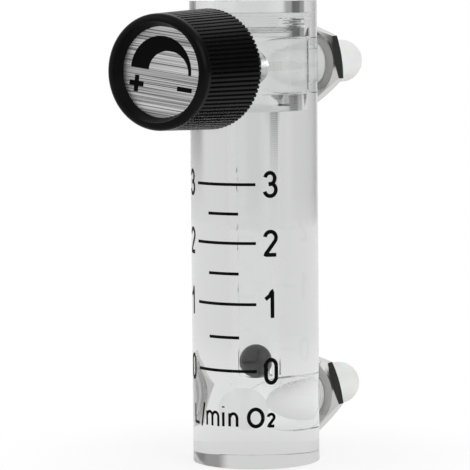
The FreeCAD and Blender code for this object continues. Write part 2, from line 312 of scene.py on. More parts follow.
@dataclass(frozen=True)
class ClearAcrylic(Finish):
    """Polished cast acrylic, a little grey through its depth, whose faces differ by their place.

    Cemented faces bend light very little: the walls of the port tubes, sleeve and needle seat, and the
    plug's thread but for a dry stretch. The gas's way through the rod bends none. Outside the rod the port
    tubes' necks are frosted and their threads are ground.
    """
    tint: Colour = (0.985, 0.99, 0.988)
    loss_per_metre: float = 9.0
    refraction: float = 1.49
    cement_refraction: float = 1.025
    passage_refraction: float = 1.0
    neck_refraction: float = 1.15
    polish: float = 0.012
    bored_haze: float = 0.04
    drilled_haze: float = 0.32
    passage_haze: float = 0.4
    cloud_haze: float = 0.01
    cloud_scale: float = 60.0
    ring_pitch: float = 0.35 * MM
    ring_depth: float = 0.0006 * MM
    ring_wander: float = 9.0
    ground_start: float = 15.5 * MM
    ground_roughness: float = 0.5
    ground_spread: float = 0.1
    ground_clear: float = 0.45
    margin: float = 0.04 * MM
    outer_radius: float = 12.05 * MM
    valve_reach: float = 6.1 * MM
    passage_foot: float = 10.5 * MM
    thread_reach: float = 1.0 * MM
    dry_heading_deg: float = 15.0
    dry_half_deg: float = 40.0
    dry_drop: float = 0.94 * MM

    def from_port(self, recipe: Recipe, node: str) -> Signal:
        """Distance from the axis of a port tube."""
        x, _, z = recipe.axes()
        return distance(x, z - middle_z(node))

    def at_wall(self, reach: Signal, radius: float) -> Signal:
        """1 on a round wall and on the one that it is cemented to, 0 elsewhere."""
        return reach.near(radius + self.margin / 2, self.margin)

    def cemented(self, recipe: Recipe, radius: Signal) -> Signal:
        """Mask of the cemented faces.

        Args:
            recipe: The material's nodes.
            radius: Distance from the rod's axis.

        Returns:
            1 on those faces, 0 elsewhere.
        """
        x, y, z = recipe.axes()
        tube_walls = [self.at_wall(self.from_port(recipe, node), span(node)[1].x)
                      * radius.below(self.outer_radius) for node in PORT_TUBES]
        sleeve_low, sleeve_high = span("valve_sleeve")
        sleeve_wall = self.at_wall(radius, sleeve_high.x) * z.between(sleeve_low.z, sleeve_high.z)
        plug_low, plug_high = span("top_plug")
        heading = math.radians(self.dry_heading_deg)
        towards = (x * math.cos(heading) + y * math.sin(heading)) / radius
        aside = towards.below(math.cos(math.radians(self.dry_half_deg)))
        wet = aside.larger(z.above(plug_high.z - self.dry_drop))
        plug_thread = (radius.between(plug_high.x - self.thread_reach - self.margin / 2,
                                      plug_high.x + 1.5 * self.margin)
                       * z.between(plug_low.z + self.margin, plug_high.z - self.margin) * wet)
        seat = span("needle_seat")[1]
        seat_wall = (self.at_wall(self.from_port(recipe, "upper_port_tube"), seat.x)
                     * y.below(seat.y + self.margin) * y.above(0))
        return any_of(*tube_walls, sleeve_wall, plug_thread, seat_wall)

    def drilled(self, recipe: Recipe, radius: Signal) -> Signal:
        """Mask of the port tubes' bores inside the rod.

        Args:
            recipe: The material's nodes.
            radius: Distance from the rod's axis.

        Returns:
            1 there, 0 elsewhere.
        """
        bores = [self.from_port(recipe, node).below(span(node)[1].x - 2 * self.margin) for node in PORT_TUBES]
        return any_of(*bores) * radius.below(self.outer_radius)

    def foot(self, recipe: Recipe, radius: Signal) -> Signal:
        """Mask of the short bore under the tapered tube.

        Args:
            recipe: The material's nodes.
            radius: Distance from the rod's axis.

        Returns:
            1 there, 0 elsewhere.
        """
        z = recipe.axes()[2]
        seat = span("lower_float_seat")[1]
        rise = seat.z + self.margin - self.passage_foot
        return radius.below(seat.x + 2 * self.margin) * z.near(self.passage_foot, rise)

    def in_passage(self, recipe: Recipe, radius: Signal) -> Signal:
        """Mask of the gas's way in and out.

        Args:
            recipe: The material's nodes.
            radius: Distance from the rod's axis.

        Returns:
            1 on its walls, 0 elsewhere.
        """
        _, y, z = recipe.axes()
        inside = radius.below(self.outer_radius)
        sleeve_low, sleeve_high = span("valve_sleeve")
        valve = (radius.below(sleeve_high.x - self.margin)
                 * z.between(sleeve_low.z + self.margin, sleeve_high.z - self.margin))
        hole = (self.from_port(recipe, "upper_port_tube").below(self.valve_reach) * inside
                * y.between(span("valve_bushing")[1].y, 0))
        stop_low, stop_high = span("upper_float_stop")
        stop = (radius.below(stop_high.x - self.margin)
                * z.between(stop_low.z - self.margin / 4, stop_high.z + self.margin / 4))
        cross_reach = CROSS_BORE_RADIUS + 1.25 * self.margin
        way = self.from_port(recipe, "lower_port_tube").below(cross_reach) * inside
        end_face = y.below(CROSS_BORE_END + self.margin) * way
        walls = any_of(valve, hole, self.drilled(recipe, radius), self.foot(recipe, radius), stop, way)
        return walls * (1 - end_face)

    def on_neck(self, recipe: Recipe, radius: Signal) -> Signal:
        """Mask of the port tubes between the rod and their ground thread.

        Args:
            recipe: The material's nodes.
            radius: Distance from the rod's axis.

        Returns:
            1 there, 0 elsewhere.
        """
        y = recipe.axes()[1]
        tubes = [self.from_port(recipe, node).below(span(node)[1].x + self.margin) for node in PORT_TUBES]
        return any_of(*tubes) * y.between(0, self.ground_start) * (1 - radius.below(self.outer_radius))

    def mix(self, recipe: Recipe) -> None:
        """Refraction, slight haze that varies, and rings left by the boring tool.

        Args:
            recipe: The material's nodes.
        """
        x, y, z = recipe.axes()
        radius = distance(x, y)
        inside = radius.below(self.outer_radius)
        cloud = recipe.noise(recipe.place(), self.cloud_scale)
        rings = (z * (FULL_TURN / self.ring_pitch) + cloud * self.ring_wander).sine()
        normal = recipe.bump((rings * 0.5 + 0.5) * inside, self.ring_depth)
        walls = (self.drilled(recipe, radius) * self.drilled_haze).larger(
            self.foot(recipe, radius) * self.passage_haze)
        haze = self.polish + inside * self.bored_haze + walls + cloud * self.cloud_haze
        polished, cemented = (recipe.principled({
            "Base Color": (*self.tint, 1), "Roughness": haze, "IOR": refraction, "Transmission Weight": 1.0,
            "Normal": normal}) for refraction in (self.refraction, self.cement_refraction))
        passage = recipe.principled({"Base Color": CLEAR_WHITE, "Roughness": 0.0,
                                     "IOR": self.passage_refraction, "Transmission Weight": 1.0})
        ground, neck = (recipe.principled({
            "Base Color": (*self.tint, 1), "Roughness": self.ground_roughness + cloud * self.ground_spread,
            "IOR": refraction, "Transmission Weight": clear})
            for refraction, clear in ((self.refraction, self.ground_clear), (self.neck_refraction, 1.0)))
        face = recipe.choose(self.in_passage(recipe, radius), polished, passage)
        face = recipe.choose(self.cemented(recipe, radius), face, cemented)
        face = recipe.choose(self.on_neck(recipe, radius), face, neck)
        face = recipe.choose(y.below(self.ground_start), ground, face)
        depth = recipe.node("ShaderNodeVolumeAbsorption",
                            inputs={"Color": (0, 0, 0, 1), "Density": self.loss_per_metre})
        recipe.close(face, depth)


@dataclass(frozen=True)
class Plated(Finish):
    """Bright plate or turned metal, with soft wear and fine lines round its axis along Y."""
    colour: Colour
    roughness: float
    line_pitch: float
    line_depth: float
    metallic: float = 1.0
    worn_share: float = 0.92
    spread: float = 0.08
    cloud_scale: float = 420.0
    line_stretch: float = 6.0

    def mix(self, recipe: Recipe) -> None:
        """Metal whose roughness and colour vary, with fine turned lines as bump.

        Args:
            recipe: The material's nodes.
        """
        cloud = recipe.noise(recipe.place(), self.cloud_scale)
        lines = recipe.noise(recipe.mapped((1, self.line_stretch, 1)), 1 / (2 * self.line_pitch), detail=2.0)
        worn = recipe.blend(cloud, [part * self.worn_share for part in self.colour], self.colour)
        recipe.close(recipe.principled({
            "Base Color": worn, "Metallic": self.metallic, "Roughness": self.roughness + cloud * self.spread,
            "Normal": recipe.bump(lines, self.line_depth)}))


@dataclass(frozen=True)
class BlackMoulding(Finish):
    """Satin black moulded plastic with a fine grain, rubbed a little smoother in places."""
    colour: Colour = (0.0035, 0.0035, 0.0036)
    rubbed: Colour = (0.006, 0.006, 0.0062)
    roughness: float = 0.24
    dish_roughness: float = 0.2
    dish_radius: float = 9.0 * MM
    refraction: float = 1.5
    shine: float = 0.05
    grain_scale: float = 5200.0
    grain_depth: float = 0.006 * MM
    grain_spread: float = 0.12
    rub_scale: float = 160.0
    rub_spread: float = 0.10

    def mix(self, recipe: Recipe) -> None:
        """Dark plastic whose grain is bump, with rubbed places that shine a little more and a dull dish.

        Args:
            recipe: The material's nodes.
        """
        x, _, z = recipe.axes()
        dish = distance(x, z - middle_z("knob_disc")).below(self.dish_radius)
        grain = recipe.noise(recipe.place(), self.grain_scale, detail=2.0)
        rub = recipe.noise(recipe.place(), self.rub_scale)
        roughness = (self.roughness + grain * self.grain_spread - rub * self.rub_spread
                     + dish * self.dish_roughness)
        recipe.close(recipe.principled({
            "Base Color": recipe.blend(rub, self.colour, self.rubbed), "Roughness": roughness,
            "IOR": self.refraction, "Specular IOR Level": self.shine,
            "Normal": recipe.bump(grain, self.grain_depth)}))


@dataclass(frozen=True)
class BrushedMetal(Finish):
    """Disc brushed in straight lines, turned with its print."""
    light: Colour = (0.66, 0.66, 0.66)
    dark: Colour = (0.10, 0.10, 0.10)
    turn_deg: float = 7.4
    streak_length: float = 260.0
    wide_scale: float = 750.0
    wide_share: float = 0.15
    fine_scale: float = 3300.0
    fine_share: float = 0.85
    edges: Pair = (0.34, 0.64)
    dark_roughness: float = 0.42
    light_smoothing: float = 0.12
    streak_depth: float = 0.02 * MM

    def mix(self, recipe: Recipe) -> None:
        """Long streaks of light and dark metal of two widths.

        Args:
            recipe: The material's nodes.
        """
        along = recipe.mapped((1 / self.streak_length, 1, 1), (0, math.radians(self.turn_deg), 0))
        wide = recipe.noise(along, self.wide_scale, detail=1.0)
        fine = recipe.noise(along, self.fine_scale, detail=2.0, roughness=0.8)
        streak = (wide * self.wide_share + fine * self.fine_share).ease(*self.edges)
        recipe.close(recipe.principled({
            "Base Color": recipe.blend(streak, self.dark, self.light), "Metallic": 1.0,
            "Roughness": self.dark_roughness - streak * self.light_smoothing,
            "Normal": recipe.bump(fine, self.streak_depth)}))


@dataclass(frozen=True)
class Ink(Finish):
    """Black screen print, slightly raised and glossy."""
    colour: Colour = (0.002, 0.002, 0.002)
    shine: float = 0.03
    roughness: float = 0.35
    spread: float = 0.2
    speck_scale: float = 9000.0
    speck_lightening: float = 2.0

    def mix(self, recipe: Recipe) -> None:
        """Nearly black paint with small pinholes in its gloss.

        Args:
            recipe: The material's nodes.
        """
        speck = recipe.noise(recipe.place(), self.speck_scale, detail=1.0)
        pinhole = [part * self.speck_lightening for part in self.colour]
        recipe.close(recipe.principled({
            "Base Color": recipe.blend(speck, self.colour, pinhole),
            "Roughness": self.roughness + speck * self.spread, "Specular IOR Level": self.shine}))


@dataclass(frozen=True)
class SoftPlastic(Finish):
    """Pale soft plastic or rubber that light sinks into, with a faint skin texture."""
    colour: Colour
    shade: Colour
    roughness: float
    depth: float = 0.0
    clear: float = 0.0
    refraction: float = 1.42
    spread: float = 0.08
    sinking: float = 0.6
    cloud_scale: float = 240.0
    skin_scale: float = 2600.0
    skin_depth: float = 0.004 * MM

    def mix(self, recipe: Recipe) -> None:
        """Soft surface, some light under the skin or through it, and a faint orange-peel bump.

        Args:
            recipe: The material's nodes.
        """
        cloud = recipe.noise(recipe.place(), self.cloud_scale)
        skin = recipe.noise(recipe.place(), self.skin_scale, detail=2.0)
        recipe.close(recipe.principled({
            "Base Color": recipe.blend(cloud, self.shade, self.colour),
            "Roughness": self.roughness + cloud * self.spread,
            "Subsurface Weight": self.sinking if self.depth else 0.0, "Subsurface Scale": self.depth,
            "Transmission Weight": self.clear, "IOR": self.refraction,
            "Normal": recipe.bump(skin, self.skin_depth)}))


@dataclass(frozen=True)
class PolishedBall(Finish):
    """Black polished ball with faint scuffs."""
    colour: Colour = (0.002, 0.002, 0.0021)
    scuff: Colour = (0.01, 0.01, 0.0103)
    roughness: float = 0.14
    spread: float = 0.2
    shine: float = 0.1
    scuff_scale: float = 330.0
    edges: Pair = (0.45, 0.75)

    def mix(self, recipe: Recipe) -> None:
        """Dark gloss under cloudy scuffs.

        Args:
            recipe: The material's nodes.
        """
        scuffs = recipe.noise(recipe.place(), self.scuff_scale, detail=4.0).ease(*self.edges)
        recipe.close(recipe.principled({
            "Base Color": recipe.blend(scuffs, self.colour, self.scuff),
            "Roughness": self.roughness + scuffs * self.spread, "Specular IOR Level": self.shine}))


ACRYLIC = ClearAcrylic("clear acrylic")
NICKEL = Plated("bright nickel plate", (0.57, 0.565, 0.56), 0.12, 0.05 * MM, 0.0015 * MM)
STEEL = Plated("satin steel", (0.84, 0.84, 0.85), 0.26, 0.08 * MM, 0.004 * MM, metallic=0.85)
BLACK = BlackMoulding("satin black moulding")
BRUSHED = BrushedMetal("brushed disc")
INK = Ink("black print")
CAP_WHITE = SoftPlastic("soft white cap", (0.87, 0.87, 0.86), (0.81, 0.81, 0.80), 0.42, depth=1.5 * MM)
RESIN = SoftPlastic("pale resin", (0.97, 0.97, 0.96), (0.94, 0.94, 0.93), 0.05, clear=0.95, refraction=1.02)
RUBBER = SoftPlastic("black rubber", (0.018, 0.018, 0.018), (0.012, 0.012, 0.012), 0.6)
SILICONE = SoftPlastic("clear silicone", (0.92, 0.92, 0.92), (0.88, 0.88, 0.88), 0.12, clear=0.85)
BALL_BLACK = PolishedBall("polished black ball")


def span(node: str) -> tuple[Vector, Vector]:
    """Lowest and highest corner of a node of the frame, in metres."""
    low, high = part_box(node)
    return Vector(low), Vector(high)


def middle_z(node: str) -> float:
    """Height of a node's middle."""
    low, high = span(node)
    return (low.z + high.z) / 2


def dress(node: str, finish: Finish) -> None:
    """Gives a finish to a node of the frame.

    Args:
        node: The node's name.
        finish: Its finish.
    """
    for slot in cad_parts[node].material_slots:
        slot.material = finish.material()
    log.info("%s: %s", node, finish.name)


def turned(outline: Sequence[Pair], along: Along, centre: Sequence[float], steps: int) -> bmesh.types.BMesh:
    """Turns an outline about an axis.

    Args:
        outline: (radius, place along the axis) corners. One that starts and ends on the axis makes a full
            solid, and any other is closed on itself.
        along: The axis's direction.
        centre: A point on the axis, added to every corner.
        steps: Number of faces round.

    Returns:
        The closed shape, its faces pointing outwards.
    """
    shape = bmesh.new()
    corners = [shape.verts.new(along.point(*pair) + Vector(centre)) for pair in outline]
    edges = [shape.edges.new(pair) for pair in zip(corners, corners[1:])]
    if outline[0][0] > 0:
        edges.append(shape.edges.new((corners[-1], corners[0])))
    bmesh.ops.spin(shape, geom=corners + edges, cent=centre, axis=along.value, angle=FULL_TURN, steps=steps,
                   use_merge=True)
    bmesh.ops.remove_doubles(shape, verts=shape.verts, dist=MERGE_DISTANCE)
    bmesh.ops.recalc_face_normals(shape, faces=shape.faces)
    return shape


def block(size: Sequence[float], centre: Sequence[float]) -> bmesh.types.BMesh:
    """Makes an oblong block.

    Args:
        size: Its three sides.
        centre: Its middle.

    Returns:
        The closed shape.
    """
    shape = bmesh.new()
    bmesh.ops.create_cube(shape, size=1)
    bmesh.ops.scale(shape, vec=size, verts=shape.verts)
    bmesh.ops.translate(shape, vec=centre, verts=shape.verts)
    return shape


def thread(root: float, crest: float, start: float, end: float, pitch: float,
           flat: float = 0.0) -> list[Pair]:
    """Zigzag of thread ridges between two places along an axis.

    Args:
        root: Radius at the first corner and between ridges.
        crest: Radius at the ridges' tips.
        start: Place of the first corner.
        end: Place that no ridge passes.
        pitch: Distance from ridge to ridge.
        flat: Share of the pitch that each crest's flat takes, and each root's.

    Returns:
        (radius, place) corners, starting and ending at the root.
    """
    count = int(abs(end - start) / pitch)
    step = math.copysign(pitch, end - start)
    corners = [(root, start)]
    for index in range(count):
        if flat:
            corners.append((root, start + (index + flat) * step))
            corners.append((crest, start + (index + 0.5) * step))
        corners.append((crest, start + (index + 0.5 + flat) * step))
        corners.append((root, start + (index + 1) * step))
    return corners


def placed(name: str, data: Any) -> bpy.types.Object:
    """Makes an object of a mesh, curve, camera or lamp, and adds it to the scene.

    Args:
        name: The object's name.
        data: What it shows.

    Returns:
        The object.
    """
    made = bpy.data.objects.new(name, data)
    bpy.context.scene.collection.objects.link(made)
    return made


def shaded(mesh: bpy.types.Mesh) -> bpy.types.Mesh:
    """Shades a mesh smooth but for its sharp edges.

    Args:
        mesh: The mesh, changed in place.

    Returns:
        The same mesh.
    """
    mesh.shade_smooth()
    mesh.set_sharp_from_angle(angle=SHARP_ANGLE)
    return mesh


def evaluated(piece: bpy.types.Object) -> bpy.types.Mesh:
    """The mesh of a piece with its modifiers or its pen applied."""
    graph = bpy.context.evaluated_depsgraph_get()
    return bpy.data.meshes.new_from_object(piece.evaluated_get(graph))


def as_object(shape: bmesh.types.BMesh, name: str) -> bpy.types.Object:
    """Makes an object of a shape.

    Args:
        shape: The shape, used up here.
        name: The object's name.

    Returns:
        The object.
    """
    mesh = bpy.data.meshes.new(name)
    shape.to_mesh(mesh)
    shape.free()
    return placed(name, shaded(mesh))


def changed(piece: bpy.types.Object, tools: Iterable[bmesh.types.BMesh], change: Change) -> bpy.types.Object:
    """Cuts shapes out of a piece, or joins them to it.

    Args:
        piece: The piece, changed in place.
        tools: The shapes, used up here.
        change: What each shape does to the piece.

    Returns:
        The same piece.
    """
    others = [as_object(tool, "tool") for tool in tools]
    for other in others:
        step = piece.modifiers.new(change.name, "BOOLEAN")
        step.operation = change.value
        step.solver = "EXACT"
        step.object = other
    mesh = evaluated(piece)
    piece.modifiers.clear()
    piece.data = shaded(mesh)
    for other in others:
        bpy.data.objects.remove(other)
    return piece


def settle(piece: bpy.types.Object, finish: Finish, slot: Slot, body: Body, *replaced: str) -> None:
    """Finishes a new piece.

    Args:
        piece: The piece.
        finish: Its finish.
        slot: Not used; it names a material slot of the record.
        body: The body that it rides on.
        replaced: The nodes that it stands for, which are hidden.
    """
    piece.data.materials.clear()
    piece.data.materials.append(finish.material())
    if replaced:
        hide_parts(*replaced)
    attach(piece, body.value)
    log.info("%s: %s, %d faces", piece.name, finish.name, len(piece.data.polygons))


@dataclass
class ClearParts:
    """The rod with its bores, the plug in its top, the valve's sleeve, and the float's seat and stop."""
    steps: int = 256
    rim_chamfer: float = 0.04 * MM
    fit: float = 0.03 * MM
    tube_foot_radius: float = 3.24 * MM
    tube_head_radius: float = 3.48 * MM
    foot_passage_radius: float = 2.4 * MM
    thread_pitch: float = 0.92 * MM
    thread_depth: float = 0.6 * MM
    thread_flat: float = 0.3
    plug_groove_low: float = 0.7 * MM
    plug_groove_high: float = 1.7 * MM
    plug_groove_radius: float = 6.47 * MM
    plug_chamfer: float = 0.5 * MM
    plug_slot_width: float = 1.6 * MM
    plug_slot_depth: float = 0.8 * MM

    def __post_init__(self) -> None:
        """Reads the sizes that the frame has."""
        rod_high = span("acrylic_rod")[1]
        self.radius: float = rod_high.x
        self.height: float = rod_high.z
        plug_low, plug_high = span("top_plug")
        self.plug_radius: float = plug_high.x
        self.plug_low: float = plug_low.z
        self.plug_top: float = plug_high.z
        stop_low, stop_high = span("upper_float_stop")
        self.chamber_radius: float = stop_high.x + self.fit
        self.chamber_floor: float = stop_low.z - self.fit
        self.seat_foot: float = span("lower_float_seat")[0].z - self.fit
        self.port_radius: float = span("upper_port_tube")[1].x
        self.upper_z: float = middle_z("upper_port_tube")
        self.lower_z: float = middle_z("lower_port_tube")
        self.collar_radius: float = span("valve_bushing")[1].x
        ring_low, ring_high = span("bushing_seal_ring")
        self.bushing_radius: float = ring_high.x
        self.front_flat: float = ring_low.y

    def bores(self) -> list[Pair]:
        """Outline of the rod and of all the bores on its own axis.

        Returns:
            (radius, z) corners.
        """
        plug_hole = self.plug_radius + self.fit
        groove_top = self.plug_low + self.plug_groove_high
        ridges = thread(plug_hole - self.thread_depth, plug_hole, groove_top,
                        self.plug_top - self.plug_chamfer, self.thread_pitch, self.thread_flat)
        return [
            (0, 0),
            (self.radius - self.rim_chamfer, 0),
            (self.radius, self.rim_chamfer),
            (self.radius, self.height - self.rim_chamfer),
            (self.radius - self.rim_chamfer, self.height),
            (plug_hole, self.height),
            (plug_hole, self.plug_top),
            *reversed(ridges),
            (plug_hole, groove_top - self.fit),
            (plug_hole, self.plug_low - self.fit),
            (self.chamber_radius, self.plug_low - self.fit),
            (self.chamber_radius, self.chamber_floor),
            (self.tube_head_radius, self.chamber_floor),
            (self.tube_foot_radius, self.seat_foot),
            (self.foot_passage_radius, self.seat_foot),
            (self.foot_passage_radius, self.lower_z),
            (0, self.lower_z),
        ]

    def side_bores(self) -> list[bmesh.types.BMesh]:
        """Makes the shapes of the holes from the sides.

        Returns:
            The upper port's hole, the lower port's with the cross bore, and the valve's.
        """
        past = self.radius + MM
        port_hole = self.port_radius + self.fit
        valve_hole = self.bushing_radius + self.fit
        counterbore = self.collar_radius + self.fit
        upper = [(0, 0), (port_hole, 0), (port_hole, past), (0, past)]
        lower = [(0, CROSS_BORE_END), (CROSS_BORE_RADIUS, CROSS_BORE_END),
                 (CROSS_BORE_RADIUS, self.chamber_radius), (port_hole, self.chamber_radius),
                 (port_hole, past), (0, past)]
        valve = [(0, -past), (counterbore, -past), (counterbore, self.front_flat),
                 (valve_hole, self.front_flat), (valve_hole, 0), (0, 0)]
        holes = ((upper, self.upper_z), (lower, self.lower_z), (valve, self.upper_z))
        return [turned(outline, Along.Y, (0, 0, height), self.steps) for outline, height in holes]

    def rod(self) -> None:
        """Makes the rod."""
        piece = as_object(turned(self.bores(), Along.Z, (0, 0, 0), self.steps), "clear_rod")
        changed(piece, self.side_bores(), Change.CUT)
        settle(piece, ACRYLIC, Slot.ACRYLIC, Body.HOUSING, "acrylic_rod")

    def plug(self) -> None:
        """Makes the threaded plug with its seal groove and driver slot."""
        crest = self.plug_radius
        root = crest - self.thread_depth
        groove_low = self.plug_low + self.plug_groove_low
        groove_high = self.plug_low + self.plug_groove_high
        outline = [
            (0, self.plug_low), (root, self.plug_low), (root, groove_low),
            (self.plug_groove_radius, groove_low), (self.plug_groove_radius, groove_high),
            *thread(root, crest, groove_high, self.plug_top - self.plug_chamfer, self.thread_pitch,
                    self.thread_flat),
            (root, self.plug_top), (0, self.plug_top),
        ]
        piece = as_object(turned(outline, Along.Z, (0, 0, 0), self.steps), "clear_plug")
        slot_size = (3 * crest, self.plug_slot_width, 2 * self.plug_slot_depth)
        changed(piece, [block(slot_size, (0, 0, self.plug_top))], Change.CUT)
        settle(piece, ACRYLIC, Slot.ACRYLIC, Body.HOUSING, "top_plug")

    def build(self) -> None:
        """Makes the rod and the plug, and dresses the clear pieces inside and the plug's ring."""
        self.rod()
        self.plug()
        for node in ("lower_float_seat", "upper_float_stop", "valve_sleeve"):
            dress(node, ACRYLIC)
        dress("plug_seal_ring", SILICONE)


@dataclass
class Port:
    """One port: a clear tube with a thread and a hose end, its nut and its cap."""
    name: str
    holds_seat: bool = False
    steps: int = 128
    fit: float = 0.03 * MM
    bore_radius: float = 1.75 * MM
    seat_pocket_radius: float = 3.23 * MM
    barb_root: float = 2.6 * MM
    barb_crest: float = 3.0 * MM
    barb_pitch: float = 3.6 * MM
    barb_count: int = 3
    barb_tip: float = 1.0 * MM
    thread_start: float = 14.2 * MM
    thread_pitch: float = 0.8 * MM
    thread_depth: float = 0.4 * MM

    def outline(self, node: str) -> list[Pair]:
        """Outline of the tube.

        Args:
            node: The tube's node.

        Returns:
            (radius, y) corners.
        """
        low, high = span(node)
        crest, tip = high.x, high.y
        root = crest - self.thread_depth
        shoulder = tip - self.barb_count * self.barb_pitch - self.barb_tip
        inner_end = 0.0 if self.holds_seat else low.y
        corners = [(self.bore_radius, inner_end), (crest, inner_end), (crest, self.thread_start)]
        corners += thread(root, crest, self.thread_start + self.thread_depth, shoulder, self.thread_pitch)
        corners += [(root, shoulder), (self.barb_root, shoulder)]
        for index in range(self.barb_count):
            barb = shoulder + index * self.barb_pitch
            corners.append((self.barb_crest, barb + self.barb_pitch / 2))
            corners.append((self.barb_root, barb + self.barb_pitch))
        return corners + [(self.barb_root, tip), (self.bore_radius, tip)]

    def make_room(self, piece: bpy.types.Object, centre: Sequence[float]) -> None:
        """Cuts the valve chamber and the needle seat's pocket out of the tube.

        Args:
            piece: The tube.
            centre: The point where its axis crosses the rod's.
        """
        chamber = span("valve_sleeve")[1].x + self.fit
        seat_end = span("needle_seat")[1].y + self.fit
        bored = [(0, -chamber), (chamber, -chamber), (chamber, chamber), (0, chamber)]
        pocket = [(0, 0), (self.seat_pocket_radius, 0), (self.seat_pocket_radius, seat_end), (0, seat_end)]
        tools = [turned(bored, Along.Z, centre, self.steps), turned(pocket, Along.Y, centre, self.steps)]
        changed(piece, tools, Change.CUT)

    def build(self) -> None:
        """Makes the tube and dresses the nut and the cap."""
        node = f"{self.name}_port_tube"
        centre = (0, 0, middle_z(node))
        tube = turned(self.outline(node), Along.Y, centre, self.steps)
        piece = as_object(tube, f"{self.name}_threaded_port")
        if self.holds_seat:
            self.make_room(piece, centre)
        settle(piece, ACRYLIC, Slot.ACRYLIC, Body.HOUSING, node)
        dress(f"{self.name}_hex_nut", NICKEL)
        dress(f"{self.name}_dust_cap", CAP_WHITE)


@dataclass
class Valve:
    """Metal, sealing and clear pieces of the needle valve."""
    plated: tuple[str, ...] = ("valve_bushing", "gland_nut")
    steel: tuple[str, ...] = ("valve_stem", "knob_screw")
    rubber: tuple[str, ...] = ("bushing_seal_ring", "stem_seal_ring")
    resin: tuple[str, ...] = ("needle_tip",)
    clear: tuple[str, ...] = ("needle_seat",)

    def build(self) -> None:
        """Dresses every piece."""
        groups = ((self.plated, NICKEL), (self.steel, STEEL), (self.rubber, RUBBER), (self.resin, RESIN),
                  (self.clear, ACRYLIC))
        for nodes, finish in groups:
            for node in nodes:
                dress(node, finish)


@dataclass
class Knob:
    """The ribbed knob and its disc with a crescent, a plus and a minus."""
    print_turn_deg: float = 7.4
    print_height: float = 0.03 * MM
    crescent_size: Pair = (6.4 * MM, 6.4 * MM)
    crescent_centre: Pair = (-0.25 * MM, 0.1 * MM)
    hollow_centre: Pair = (1.35 * MM, 0.1 * MM)
    hollow_size: Pair = (4.2 * MM, 3.85 * MM)
    plus_centre: Pair = (-5.15 * MM, -2.73 * MM)
    plus_arm: float = 3.0 * MM
    plus_stroke: float = 0.9 * MM
    minus_centre: Pair = (5.06 * MM, -2.55 * MM)
    minus_size: Pair = (3.1 * MM, 0.85 * MM)
    steps: int = 128

    def plate(self, centre: Pair, size: Pair) -> bmesh.types.BMesh:
        """Small oblong plate of print."""
        return block((size[0], self.print_height, size[1]), (centre[0], 0, centre[1]))

    def crescent(self) -> bpy.types.Object:
        """Makes the crescent between a half circle and a half oval.

        Returns:
            The crescent as a thin solid.
        """
        shape = bmesh.new()
        rows = []
        for index in range(self.steps + 1):
            angle = math.pi * index / self.steps
            rows.append([shape.verts.new((centre[0] + size[0] * math.cos(angle), -self.print_height / 2,
                                          centre[1] + size[1] * math.sin(angle)))
                         for centre, size in ((self.crescent_centre, self.crescent_size),
                                              (self.hollow_centre, self.hollow_size))])
        for (outer, inner), (next_outer, next_inner) in zip(rows, rows[1:]):
            shape.faces.new((outer, inner, next_inner, next_outer))
        raised = bmesh.ops.extrude_face_region(shape, geom=list(shape.faces))["geom"]
        bmesh.ops.translate(shape, vec=(0, self.print_height, 0),
                            verts=[item for item in raised if isinstance(item, bmesh.types.BMVert)])
        bmesh.ops.recalc_face_normals(shape, faces=shape.faces)
        return as_object(shape, "crescent_print")

    def plus(self) -> bpy.types.Object:
        """Makes the plus sign of two crossed bars.

        Returns:
            The plus as one solid.
        """
        upright = as_object(self.plate(self.plus_centre, (self.plus_stroke, self.plus_arm)), "plus_print")
        level = self.plate(self.plus_centre, (self.plus_arm, self.plus_stroke))
        return changed(upright, [level], Change.JOIN)

    def build(self) -> None:
        """Dresses knob and disc and lays the print on the disc's front."""
        dress("knob", BLACK)
        dress("knob_disc", BRUSHED)
        minus = as_object(self.plate(self.minus_centre, self.minus_size), "minus_print")
        turn = Matrix.Rotation(math.radians(self.print_turn_deg), 4, "Y")
        front = span("knob_disc")[0].y
        seat = Matrix.Translation((0, front - self.print_height / 2, middle_z("knob_disc")))
        for piece in (self.crescent(), self.plus(), minus):
            piece.data.transform(seat @ turn)
            settle(piece, INK, Slot.KNOB, Body.KNOB)


class Stroke:
    """The centre line of one pen stroke, made of straight runs and oval arcs."""

    def __init__(self, *points: Pair) -> None:
        """Starts with straight runs."""
        self.points = list(points)

    def arc(self, centre: Pair, size: Pair, start_deg: float, end_deg: float, steps: int = 20) -> "Stroke":
        """Adds an oval arc.

        Args:
            centre: The oval's middle.
            size: Its half width and half height.
            start_deg: Where the arc starts, counted from the right and anticlockwise.
            end_deg: Where it ends.
            steps: Number of runs.

        Returns:
            The stroke itself.
        """
        for index in range(steps + 1):
            angle = math.radians(start_deg + (end_deg - start_deg) * index / steps)
            self.points.append((centre[0] + size[0] * math.cos(angle), centre[1] + size[1] * math.sin(angle)))
        return self

    def line(self, *points: Pair) -> "Stroke":
        """Adds straight runs and returns the stroke."""
        self.points.extend(points)
        return self


